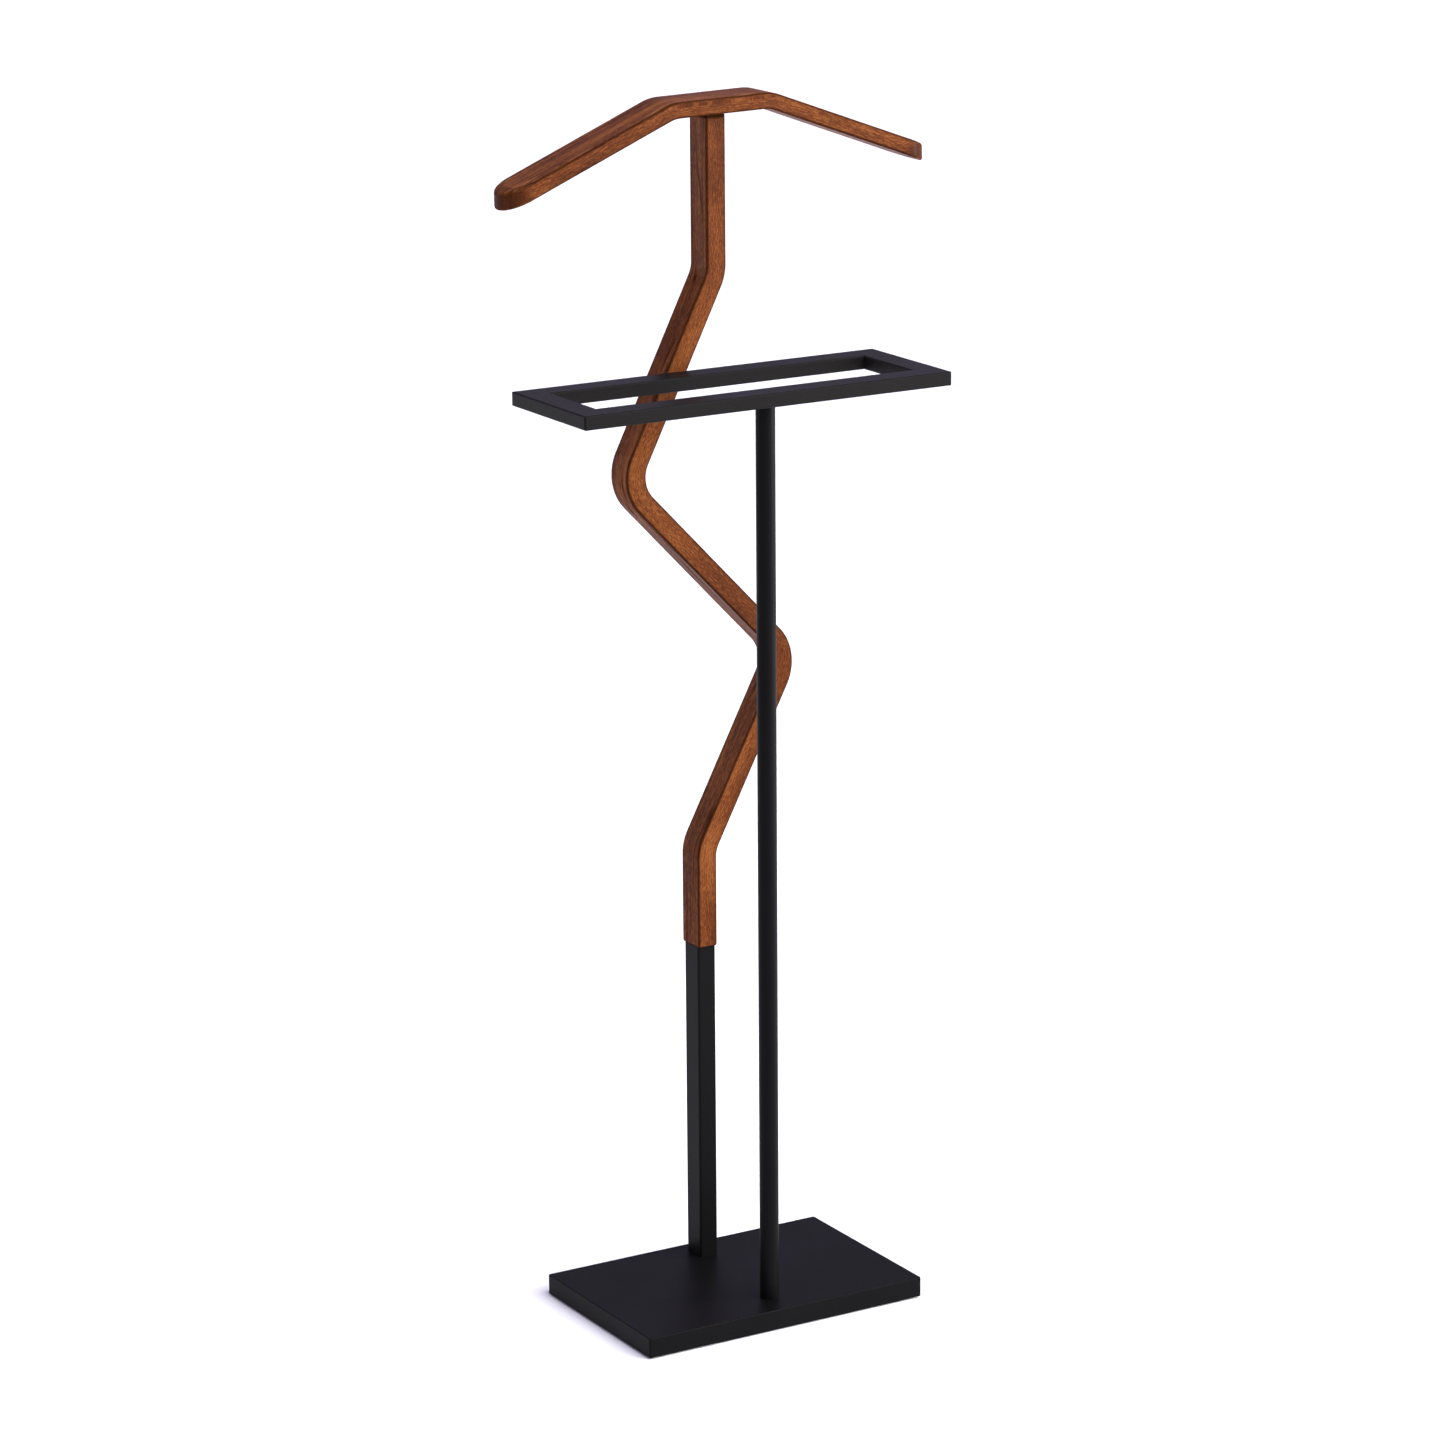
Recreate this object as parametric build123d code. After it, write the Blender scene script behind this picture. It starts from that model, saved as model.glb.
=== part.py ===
from build123d import *

import os

# A valet stand: a flat base, a round front tube and a rectangular rear tube that carry
# a level trouser frame, and a bent-wood post that zigzags up from the rear tube to a
# shoulder bar for a jacket. Millimetres, +Z up, +X to the right as the stand is used,
# -Y towards the user. The origin is on the floor, under the middle of the base.

# Felt pad under the base, laid a little to the right, which holds the base off the floor.
PAD_T = 2.0
PAD_X = 218.0
PAD_Y = 199.0
PAD_SHIFT_X = 28.0
PAD_CORNER = 4.0

# Base: a folded steel cover over a wooden core, closed by a sheet below.
BASE_X = 315.0
BASE_Y = 205.0
BASE_H = 20.0
BASE_CORNER = 2.0
BASE_EDGE = 1.2
SHEET = 1.5
PANEL_T = 1.2
CORE_GAP = 0.3
PANEL_SCREW_INSET_X = 12.0
PANEL_SCREW_INSET_Y = 30.0
PANEL_SCREW_R = 1.75
PANEL_SCREW_HEAD_R = 3.5
PANEL_SCREW_HEAD_H = 1.0
PANEL_SCREW_LENGTH = 12.0

# Steel tubes.
TUBE_WALL = 1.5
FRONT_TUBE_R = 9.5
FRONT_TUBE_X = 0.0
FRONT_TUBE_Y = -68.0
REAR_TUBE_X_SIDE = 20.0
REAR_TUBE_Y_SIDE = 27.0
REAR_TUBE_CORNER = 2.0
POST_X = 6.5
POST_Y = 74.0
REAR_TUBE_TOP = 351.5

# How far a cutting shape runs past the face that it cuts.
OVERCUT = 1.0

# Plugs and blocks welded or pressed into the tubes, and the bolts that reach them.
FIT_GAP = 0.1
FOOT_PLUG_H = 16.0
BOLT_R = 3.0
BOLT_LENGTH = 26.0
BOLT_HEAD_R = 5.0
BOLT_HEAD_H = 5.0
BOLT_HEX = 2.5
BOLT_HEX_DEPTH = 3.0
BOLT_RECESS = 1.0
BOLT_CLEARANCE = 0.25
BOLT_SPACING = 14.0
WASHER_R = 6.5
WASHER_T = 1.2
ACCESS_R = 8.0

# Trouser frame: four mitred rails of flat rectangular tube.
FRAME_X = 406.0
FRAME_Y = 143.0
FRAME_CENTRE_X = -2.5
FRAME_TOP = 939.3
RAIL_W = 28.0
RAIL_H = 14.0
RAIL_CORNER = 1.8
FRAME_CORNER = 2.0
STUD_R = 4.0
STUD_REACH = 8.5
STUD_DEPTH = 14.0
TOP_PLUG_H = 18.0
STUD_NUT_R = 7.0
STUD_NUT_H = 6.0

# Bent-wood post: a rectangular section swept along a zigzag in the XZ plane.
WOOD_X = 21.5
WOOD_Y = 32.5
WOOD_EDGE = 2.0
BEND_R = 40.0
KNEE_Z = 453.0
RIGHT_BEND = (104.7, 640.4)
LEFT_BEND = (-77.9, 830.8)
NECK = (22.2, 1030.4)
POST_TOP = 1185.4
TENON_LENGTH = 60.0
TENON_GAP = 0.2
TENON_SCREW_R = 2.0
TENON_SCREW_HEAD_R = 4.0
TENON_SCREW_HEAD_H = 2.2
TENON_SCREW_LENGTH = 20.0
TENON_SCREW_PITCH = 30.0

# Machine screws through the post into nuts in the rear rail.
RAIL_SCREW_R = 2.0
RAIL_SCREW_HEAD_R = 3.8
RAIL_SCREW_HEAD_H = 2.4
RAIL_SCREW_SPREAD = 6.0
RAIL_NUT_R = 3.4
RAIL_NUT_LENGTH = 9.0
RAIL_SCREW_LENGTH = WOOD_Y + RAIL_NUT_LENGTH

# Shoulder bar: a flat bent-wood bar with two drooping arms and rounded ends.
BAR_LENGTH = 472.0
BAR_DEPTH = 48.5
BAR_T = 16.0
BAR_EDGE = 2.5
BAR_TOP = 1201.8
BAR_FLAT = 55.5
BAR_DROP = 70.5
BAR_SHIFT_X = 3.3
BAR_SHIFT_Y = -1.4
BAR_TILT = 1.12
DOWEL_R = 4.0
DOWEL_IN_POST = 26.0
DOWEL_IN_BAR = 11.0
DOWEL_SPACING = 16.0
DOWEL_CHAMFER = 0.8

BASE_BOTTOM = PAD_T
BASE_TOP = BASE_BOTTOM + BASE_H
RAIL_BOTTOM = FRAME_TOP - RAIL_H
FRAME_BACK = POST_Y - WOOD_Y / 2
FRAME_CENTRE_Y = FRAME_BACK - FRAME_Y / 2
BAR_CENTRE = Vector(NECK[0] + BAR_SHIFT_X, POST_Y + BAR_SHIFT_Y, BAR_TOP)


def slab(x_size, y_size, bottom, top, corner=0.0):
    """An upright slab about the Z axis, with rounded corners where asked."""
    if corner > 0:
        outline = RectangleRounded(x_size, y_size, corner)
    else:
        outline = Rectangle(x_size, y_size)
    return Pos(0, 0, bottom) * extrude(outline, top - bottom)


def rod(radius, bottom, top):
    """An upright round bar about the Z axis."""
    return Pos(0, 0, bottom) * extrude(Circle(radius), top - bottom)


def flat_head_screw(radius, length, head_radius, head_height):
    """A countersunk screw with its head's face at the origin and its shank along +Z."""
    head = Pos(0, 0, head_height / 2) * Cone(head_radius, radius, head_height)
    return head + rod(radius, head_height / 2, length)


def countersink(radius, depth, head_radius, head_height):
    """The hole that a flat_head_screw sits in, with clearance all round."""
    wide = head_radius + BOLT_CLEARANCE
    narrow = radius + BOLT_CLEARANCE
    cone = Pos(0, 0, head_height / 2) * Cone(wide, narrow, head_height)
    return cone + rod(narrow, 0, depth)


# Where the base bolts go: two under the rear tube and one under the front tube.
REAR_BOLTS = [(POST_X, POST_Y - BOLT_SPACING / 2), (POST_X, POST_Y + BOLT_SPACING / 2)]
FRONT_BOLTS = [(FRONT_TUBE_X, FRONT_TUBE_Y)]
BOLT_SEAT = BASE_BOTTOM + PANEL_T + CORE_GAP + BOLT_RECESS + BOLT_HEAD_H + WASHER_T

PANEL_SCREWS = [
    (side_x * (BASE_X / 2 - PANEL_SCREW_INSET_X), side_y * (BASE_Y / 2 - PANEL_SCREW_INSET_Y))
    for side_x in (-1, 1)
    for side_y in (-1, 1)
]


def base_bolt():
    """A socket-head bolt from under the core up into a tube's foot."""
    under_head = BOLT_SEAT - WASHER_T
    head = rod(BOLT_HEAD_R, under_head - BOLT_HEAD_H, under_head)
    socket = extrude(RegularPolygon(BOLT_HEX, 6), BOLT_HEX_DEPTH)
    shank = rod(BOLT_R, under_head, under_head + BOLT_LENGTH)
    return head + shank - Pos(0, 0, under_head - BOLT_HEAD_H) * socket


def base_washer():
    ring = Circle(WASHER_R) - Circle(BOLT_R + BOLT_CLEARANCE)
    return Pos(0, 0, BOLT_SEAT - WASHER_T) * extrude(ring, WASHER_T)


def bolt_holes(radius, bottom, top):
    """The same upright hole at each base bolt."""
    return [Pos(x, y, 0) * rod(radius, bottom, top) for x, y in REAR_BOLTS + FRONT_BOLTS]


def base_cover():
    """A shallow steel tray turned over, with eased edges round its top."""
    outer = slab(BASE_X, BASE_Y, BASE_BOTTOM, BASE_TOP, BASE_CORNER)
    top_edges = outer.edges().filter_by_position(Axis.Z, BASE_TOP, BASE_TOP)
    outer = fillet(top_edges, BASE_EDGE)
    inner_x = BASE_X - 2 * SHEET
    inner_y = BASE_Y - 2 * SHEET
    cover = outer - slab(inner_x, inner_y, BASE_BOTTOM, BASE_TOP - SHEET)
    return cover - bolt_holes(BOLT_R + BOLT_CLEARANCE, BASE_BOTTOM, BASE_TOP)


def base_core():
    """The board that fills the cover, counterbored for the bolts."""
    bottom = BASE_BOTTOM + PANEL_T + CORE_GAP
    top = BASE_TOP - SHEET - CORE_GAP
    side = 2 * (SHEET + CORE_GAP)
    core = slab(BASE_X - side, BASE_Y - side, bottom, top)
    core -= bolt_holes(ACCESS_R, bottom, BOLT_SEAT)
    core -= bolt_holes(BOLT_R + BOLT_CLEARANCE, bottom, top)
    pilot = rod(PANEL_SCREW_R + FIT_GAP, bottom, BASE_BOTTOM + PANEL_SCREW_LENGTH + OVERCUT)
    return core - [Pos(x, y, 0) * pilot for x, y in PANEL_SCREWS]


def base_bottom_panel():
    side = 2 * (SHEET + CORE_GAP)
    panel = slab(BASE_X - side, BASE_Y - side, BASE_BOTTOM, BASE_BOTTOM + PANEL_T)
    panel -= bolt_holes(ACCESS_R, BASE_BOTTOM, BASE_BOTTOM + PANEL_T)
    hole = countersink(PANEL_SCREW_R, PANEL_T, PANEL_SCREW_HEAD_R, PANEL_SCREW_HEAD_H)
    return panel - [Pos(x, y, BASE_BOTTOM) * hole for x, y in PANEL_SCREWS]


def base_panel_screws():
    screw = flat_head_screw(
        PANEL_SCREW_R, PANEL_SCREW_LENGTH, PANEL_SCREW_HEAD_R, PANEL_SCREW_HEAD_H
    )
    return [Pos(x, y, BASE_BOTTOM) * screw for x, y in PANEL_SCREWS]


def floor_pad():
    """The felt pad that the stand rests on, pierced for the bolts."""
    pad = Pos(PAD_SHIFT_X, 0, 0) * slab(PAD_X, PAD_Y, 0, PAD_T, PAD_CORNER)
    return pad - bolt_holes(ACCESS_R, 0, PAD_T)


def rear_tube():
    """Rectangular tube from the base up to the foot of the wooden post."""
    outer = RectangleRounded(REAR_TUBE_X_SIDE, REAR_TUBE_Y_SIDE, REAR_TUBE_CORNER)
    bore_x = REAR_TUBE_X_SIDE - 2 * TUBE_WALL
    bore_y = REAR_TUBE_Y_SIDE - 2 * TUBE_WALL
    section = outer - Rectangle(bore_x, bore_y)
    tube = Pos(POST_X, POST_Y, BASE_TOP) * extrude(section, REAR_TUBE_TOP - BASE_TOP)
    return tube - tenon_screw_holes()


def rear_tube_foot_block():
    block_x = REAR_TUBE_X_SIDE - 2 * TUBE_WALL - 2 * FIT_GAP
    block_y = REAR_TUBE_Y_SIDE - 2 * TUBE_WALL - 2 * FIT_GAP
    block = Pos(POST_X, POST_Y, 0) * slab(block_x, block_y, BASE_TOP, BASE_TOP + FOOT_PLUG_H)
    for x, y in REAR_BOLTS:
        block -= Pos(x, y, 0) * rod(BOLT_R + FIT_GAP, BASE_TOP, BASE_TOP + FOOT_PLUG_H)
    return block


def front_tube():
    """Round tube from the base up to the underside of the front rail."""
    section = Circle(FRONT_TUBE_R) - Circle(FRONT_TUBE_R - TUBE_WALL)
    place = Pos(FRONT_TUBE_X, FRONT_TUBE_Y, BASE_TOP)
    return place * extrude(section, RAIL_BOTTOM - BASE_TOP)


def front_plug(bottom, top, bore_radius, bore_bottom):
    plug = rod(FRONT_TUBE_R - TUBE_WALL - FIT_GAP, bottom, top)
    plug -= rod(bore_radius + FIT_GAP, bore_bottom, top)
    return Pos(FRONT_TUBE_X, FRONT_TUBE_Y, 0) * plug


def front_rail_stud():
    """A threaded stud that ties the front tube to the rail above it."""
    stud = rod(STUD_R, RAIL_BOTTOM - STUD_DEPTH, RAIL_BOTTOM + STUD_REACH)
    return Pos(FRONT_TUBE_X, FRONT_TUBE_Y, 0) * stud


def front_rail_nut():
    """A round nut fixed inside the front rail, over the stud."""
    ring = Circle(STUD_NUT_R) - Circle(STUD_R + FIT_GAP)
    place = Pos(FRONT_TUBE_X, FRONT_TUBE_Y, RAIL_BOTTOM + TUBE_WALL)
    return place * extrude(ring, STUD_NUT_H)


def rail_section():
    outer = RectangleRounded(RAIL_W, RAIL_H, RAIL_CORNER)
    return outer - Rectangle(RAIL_W - 2 * TUBE_WALL, RAIL_H - 2 * TUBE_WALL)


def rail_prism(length, along_x):
    """A rail's tube before mitring, centred on the origin."""
    plane = Plane.YZ if along_x else Plane.XZ
    return extrude(plane * rail_section(), length / 2, both=True)


def mitre_wedge(side_x, side_y, along_x):
    """The corner-to-centre region that the rail on one side of the frame may fill."""
    half_x = FRAME_X / 2
    half_y = FRAME_Y / 2
    reach = half_y
    if along_x:
        points = [
            (-half_x, side_y * half_y),
            (half_x, side_y * half_y),
            (half_x - reach, 0),
            (-half_x + reach, 0),
        ]
    else:
        points = [
            (side_x * half_x, -half_y),
            (side_x * half_x, half_y),
            (side_x * (half_x - reach), 0),
        ]
    return extrude(make_face(Polyline(*points, close=True)), RAIL_H, both=True)


def frame_rail(side_x, side_y):
    """One mitred rail: side_y = -1 is the front and +1 the rear, side_x the ends."""
    along_x = side_y != 0
    length = FRAME_X if along_x else FRAME_Y
    centre_x = side_x * (FRAME_X - RAIL_W) / 2
    centre_y = side_y * (FRAME_Y - RAIL_W) / 2
    rail = Pos(centre_x, centre_y, 0) * rail_prism(length, along_x)
    rail &= mitre_wedge(side_x, side_y, along_x)
    rail &= extrude(RectangleRounded(FRAME_X, FRAME_Y, FRAME_CORNER), RAIL_H, both=True)
    return Pos(FRAME_CENTRE_X, FRAME_CENTRE_Y, FRAME_TOP - RAIL_H / 2) * rail


def front_rail():
    low = RAIL_BOTTOM - OVERCUT
    hole = rod(STUD_R + BOLT_CLEARANCE, low, RAIL_BOTTOM + TUBE_WALL + OVERCUT)
    return frame_rail(0, -1) - Pos(FRONT_TUBE_X, FRONT_TUBE_Y, 0) * hole


def post_path():
    """The zigzag centre line of the wooden post, with its bends rounded."""
    knees = [(POST_X, KNEE_Z), RIGHT_BEND, LEFT_BEND, NECK]
    points = [(POST_X, REAR_TUBE_TOP), *knees, (NECK[0], POST_TOP)]
    places = [(x, POST_Y, z) for x, z in points]
    return FilletPolyline(*places, radius=BEND_R)


def post_x_at(z):
    """The post's centre line at a height on its upper slanted run."""
    share = (z - LEFT_BEND[1]) / (NECK[1] - LEFT_BEND[1])
    return LEFT_BEND[0] + share * (NECK[0] - LEFT_BEND[0])


def tenon_screw_places():
    """Places on the rear face of the rear tube, pointing into it."""
    top = REAR_TUBE_TOP - TENON_LENGTH / 2 + TENON_SCREW_PITCH / 2
    y = POST_Y + REAR_TUBE_Y_SIDE / 2
    heights = (top - TENON_SCREW_PITCH, top)
    return [Pos(POST_X, y, z) * Rot(90, 0, 0) for z in heights]


def tenon_screws():
    screw = flat_head_screw(
        TENON_SCREW_R, TENON_SCREW_LENGTH, TENON_SCREW_HEAD_R, TENON_SCREW_HEAD_H
    )
    return [place * screw for place in tenon_screw_places()]


def tenon_screw_holes():
    hole = countersink(
        TENON_SCREW_R, TENON_SCREW_LENGTH + OVERCUT, TENON_SCREW_HEAD_R, TENON_SCREW_HEAD_H
    )
    return [place * hole for place in tenon_screw_places()]


def rail_screw_places():
    """Places on the rear face of the post, behind the rear rail, pointing forward."""
    z = FRAME_TOP - RAIL_H / 2
    y = POST_Y + WOOD_Y / 2
    spread = (-RAIL_SCREW_SPREAD, RAIL_SCREW_SPREAD)
    return [Pos(post_x_at(z) + dx, y, z) * Rot(90, 0, 0) for dx in spread]


def rear_rail_screws():
    screw = flat_head_screw(
        RAIL_SCREW_R, RAIL_SCREW_LENGTH, RAIL_SCREW_HEAD_R, RAIL_SCREW_HEAD_H
    )
    return [place * screw for place in rail_screw_places()]


def rail_screw_holes():
    hole = countersink(
        RAIL_SCREW_R, RAIL_SCREW_LENGTH + OVERCUT, RAIL_SCREW_HEAD_R, RAIL_SCREW_HEAD_H
    )
    return [place * hole for place in rail_screw_places()]


def rear_rail_nuts():
    """Threaded inserts riveted through the rear wall of the rear rail."""
    ring = Circle(RAIL_NUT_R - FIT_GAP) - Circle(RAIL_SCREW_R + FIT_GAP)
    nut = Pos(0, 0, WOOD_Y) * extrude(ring, RAIL_NUT_LENGTH)
    return [place * nut for place in rail_screw_places()]


def rear_rail():
    seat = rod(RAIL_NUT_R, WOOD_Y - OVERCUT, WOOD_Y + TUBE_WALL + OVERCUT)
    return frame_rail(0, 1) - [place * seat for place in rail_screw_places()]


def bent_post():
    """The zigzag post, with a tenon below that fills the top of the rear tube."""
    path = post_path()
    start = Plane(origin=path @ 0, x_dir=(1, 0, 0), z_dir=path % 0)
    post = sweep(start * RectangleRounded(WOOD_X, WOOD_Y, WOOD_EDGE), path=path)
    tenon_x = REAR_TUBE_X_SIDE - 2 * TUBE_WALL - 2 * TENON_GAP
    tenon_y = REAR_TUBE_Y_SIDE - 2 * TUBE_WALL - 2 * TENON_GAP
    tenon = slab(tenon_x, tenon_y, REAR_TUBE_TOP - TENON_LENGTH, REAR_TUBE_TOP)
    post += Pos(POST_X, POST_Y, 0) * tenon
    return post - rail_screw_holes() - tenon_screw_holes() - dowel_holes()


def dowel_places():
    y_places = (-DOWEL_SPACING / 2, DOWEL_SPACING / 2)
    return [Pos(NECK[0], POST_Y + dy, POST_TOP) for dy in y_places]


def hanger_dowels():
    dowel = rod(DOWEL_R, -DOWEL_IN_POST, DOWEL_IN_BAR)
    dowel = chamfer(dowel.edges().filter_by(GeomType.CIRCLE), DOWEL_CHAMFER)
    return [place * dowel for place in dowel_places()]


def dowel_holes():
    hole = rod(DOWEL_R + FIT_GAP, -DOWEL_IN_POST - OVERCUT, DOWEL_IN_BAR + OVERCUT)
    return [place * hole for place in dowel_places()]


def hanger_bar():
    """The shoulder bar: a bent strip trimmed to a round-ended outline, then tilted."""
    half = BAR_LENGTH / 2 + BAR_T
    slope = BAR_DROP / (BAR_LENGTH / 2 - BAR_FLAT)
    end_z = -slope * (half - BAR_FLAT)
    line = [(-half, 0, end_z), (-BAR_FLAT, 0, 0), (BAR_FLAT, 0, 0), (half, 0, end_z)]
    path = FilletPolyline(*line, radius=BEND_R + BAR_T / 2)
    start = Plane(origin=path @ 0, x_dir=(0, 1, 0), z_dir=path % 0)
    strip = sweep(start * Pos(0, -BAR_T / 2) * Rectangle(BAR_DEPTH, BAR_T), path=path)
    outline = extrude(SlotOverall(BAR_LENGTH, BAR_DEPTH), BAR_LENGTH, both=True)
    bar = strip & outline
    long_edges = bar.edges().filter_by(lambda edge: edge.length > 2 * BAR_T)
    bar = Pos(BAR_CENTRE) * Rot(0, -BAR_TILT, 0) * fillet(long_edges, BAR_EDGE)
    return bar - dowel_holes()


PARTS = {
    "base_cover": base_cover(),
    "base_core": base_core(),
    "base_bottom_panel": base_bottom_panel(),
    "base_panel_screws": base_panel_screws(),
    "floor_pad": floor_pad(),
    "rear_tube": rear_tube(),
    "rear_tube_foot_block": rear_tube_foot_block(),
    "rear_tube_bolts": [Pos(x, y, 0) * base_bolt() for x, y in REAR_BOLTS],
    "rear_tube_washers": [Pos(x, y, 0) * base_washer() for x, y in REAR_BOLTS],
    "front_tube": front_tube(),
    "front_tube_foot_plug": front_plug(BASE_TOP, BASE_TOP + FOOT_PLUG_H, BOLT_R, BASE_TOP),
    "front_tube_bolt": Pos(FRONT_TUBE_X, FRONT_TUBE_Y, 0) * base_bolt(),
    "front_tube_washer": Pos(FRONT_TUBE_X, FRONT_TUBE_Y, 0) * base_washer(),
    "front_tube_top_plug": front_plug(
        RAIL_BOTTOM - TOP_PLUG_H, RAIL_BOTTOM, STUD_R, RAIL_BOTTOM - STUD_DEPTH
    ),
    "front_rail_stud": front_rail_stud(),
    "front_rail_nut": front_rail_nut(),
    "front_rail": front_rail(),
    "rear_rail": rear_rail(),
    "left_rail": frame_rail(-1, 0),
    "right_rail": frame_rail(1, 0),
    "bent_post": bent_post(),
    "tenon_screws": tenon_screws(),
    "rear_rail_screws": rear_rail_screws(),
    "rear_rail_nuts": rear_rail_nuts(),
    "hanger_bar": hanger_bar(),
    "hanger_dowels": hanger_dowels(),
}

os.makedirs("parts", exist_ok=True)
for node, shape in PARTS.items():
    solid = Compound(children=shape) if isinstance(shape, list) else shape
    export_step(solid, f"parts/{node}.step")
    size = solid.bounding_box().size
    print(f"{node}: {size.X:.1f} x {size.Y:.1f} x {size.Z:.1f} mm")
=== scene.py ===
# %% [markdown]
# # A valet stand, finished in Blender
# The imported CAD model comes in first, as a frame that never moves. Every new piece is then
# built around it in metres, in the same frame: +Z up, +X to the right, -Y towards the user.
# The steel parts keep their CAD meshes, because their shape is already right, and get real
# finishes. The bent-wood parts and the screws are built again here, because they need what
# CAD meshes don't carry: a record of where each point sits in the timber, and driver recesses.

# %% Load the frame
import math

import bmesh
import bpy
import numpy as np
from mathutils import Matrix, Vector


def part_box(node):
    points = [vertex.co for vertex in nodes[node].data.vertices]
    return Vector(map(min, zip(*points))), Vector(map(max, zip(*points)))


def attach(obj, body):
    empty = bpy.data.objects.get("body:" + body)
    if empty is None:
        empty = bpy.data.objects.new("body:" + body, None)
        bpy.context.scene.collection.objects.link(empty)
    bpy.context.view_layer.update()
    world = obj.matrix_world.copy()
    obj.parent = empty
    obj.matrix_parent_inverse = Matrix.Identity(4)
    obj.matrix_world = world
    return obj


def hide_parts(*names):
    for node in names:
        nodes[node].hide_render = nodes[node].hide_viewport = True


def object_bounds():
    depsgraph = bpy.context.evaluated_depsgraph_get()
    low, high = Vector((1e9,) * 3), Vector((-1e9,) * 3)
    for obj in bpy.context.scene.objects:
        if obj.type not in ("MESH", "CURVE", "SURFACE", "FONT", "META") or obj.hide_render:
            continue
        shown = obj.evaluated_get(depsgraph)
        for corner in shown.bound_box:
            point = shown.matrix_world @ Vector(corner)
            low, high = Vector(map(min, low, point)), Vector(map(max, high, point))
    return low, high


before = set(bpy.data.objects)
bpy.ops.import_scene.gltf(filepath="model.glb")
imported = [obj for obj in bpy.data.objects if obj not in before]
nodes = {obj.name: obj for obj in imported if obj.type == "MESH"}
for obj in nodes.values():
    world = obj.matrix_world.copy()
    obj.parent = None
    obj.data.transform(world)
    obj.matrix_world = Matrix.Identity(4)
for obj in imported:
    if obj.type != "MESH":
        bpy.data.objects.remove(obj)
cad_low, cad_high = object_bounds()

MM = 0.001
scene = bpy.context.scene
print("frame:", len(nodes), "nodes, height", round(cad_high.z, 3), "m")

# %% [markdown]
# ## The camera and the room
# A product view of a tall thin object needs a long lens from far off, so that its uprights
# stay parallel. The camera stands to the left of the stand's front and looks slightly down.
# Its place is worked out from an azimuth, an elevation and a distance, which are easier to
# think about than three coordinates. It aims a few millimetres off the stand's middle, which
# centres the stand in the picture, and a hair of roll levels it.

# %% Camera
VIEW_AZIMUTH = math.radians(-30.67)
VIEW_ELEVATION = math.radians(14.96)
VIEW_ROLL = math.radians(-0.41)
VIEW_DISTANCE = 4.902
AIM = Vector((-0.0069, 0.0041, cad_high.z / 2 - 0.0033))
SENSOR_WIDTH = 36.0
LENS = 125.05
VIEW_END = 60.0

def view_axes(azimuth, elevation, roll):
    """The camera's right, up and backward directions."""
    forward = Vector((-math.sin(azimuth) * math.cos(elevation),
                      math.cos(azimuth) * math.cos(elevation), -math.sin(elevation)))
    right = forward.cross(Vector((0, 0, 1))).normalized()
    up = right.cross(forward)
    turned_right = right * math.cos(roll) + up * math.sin(roll)
    turned_up = up * math.cos(roll) - right * math.sin(roll)
    return turned_right, turned_up, -forward

camera_data = bpy.data.cameras.new("view")
camera_data.sensor_width = SENSOR_WIDTH
camera_data.lens = LENS
camera_data.clip_end = VIEW_END
camera = bpy.data.objects.new("view", camera_data)
scene.collection.objects.link(camera)
right, up, back = view_axes(VIEW_AZIMUTH, VIEW_ELEVATION, VIEW_ROLL)
camera.matrix_world = Matrix.Translation(AIM + back * VIEW_DISTANCE) @ Matrix(
    (right, up, back)).transposed().to_4x4()
scene.camera = camera
print("camera at", [round(c, 2) for c in camera.matrix_world.translation])

# %% [markdown]
# The room is as plain as a product studio. One flat pale floor runs on far past the stand,
# so that no edge of it shows from any side. The light around comes from a world in two
# tones: a middling grey below the horizon and a cool, soft grey above it. Neither is bright,
# because upright faces mirror the horizon, and dark steel and lacquer soon go milky.

# %% Floor and surroundings
FLOOR_HALF = 30.0
FLOOR_ALBEDO = 0.90
FLOOR_ROUGHNESS = 0.9
GREY_BELOW = (0.36, 0.36, 0.36, 1.0)
COOL_ABOVE = (0.430, 0.395, 0.590, 1.0)
HORIZON_START = -0.06
HORIZON_END = 0.10
# A Mix node's colour sockets go by number, since its other kinds share their names.
MIX_SHARE, MIX_FIRST, MIX_SECOND, MIX_RESULT = 0, 6, 7, 2

scene.view_settings.view_transform = "Standard"
world = bpy.data.worlds.new("soft studio")
scene.world = world
world.use_nodes = True
sky = world.node_tree
direction = sky.nodes.new("ShaderNodeTexCoord")
height = sky.nodes.new("ShaderNodeSeparateXYZ")
rise = sky.nodes.new("ShaderNodeMapRange")
rise.inputs["From Min"].default_value = HORIZON_START
rise.inputs["From Max"].default_value = HORIZON_END
blend = sky.nodes.new("ShaderNodeMix")
blend.data_type = "RGBA"
blend.inputs[MIX_FIRST].default_value = GREY_BELOW
blend.inputs[MIX_SECOND].default_value = COOL_ABOVE
sky.links.new(direction.outputs["Generated"], height.inputs[0])
sky.links.new(height.outputs["Z"], rise.inputs["Value"])
sky.links.new(rise.outputs[0], blend.inputs[MIX_SHARE])
sky.links.new(blend.outputs[MIX_RESULT], sky.nodes["Background"].inputs["Color"])

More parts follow.
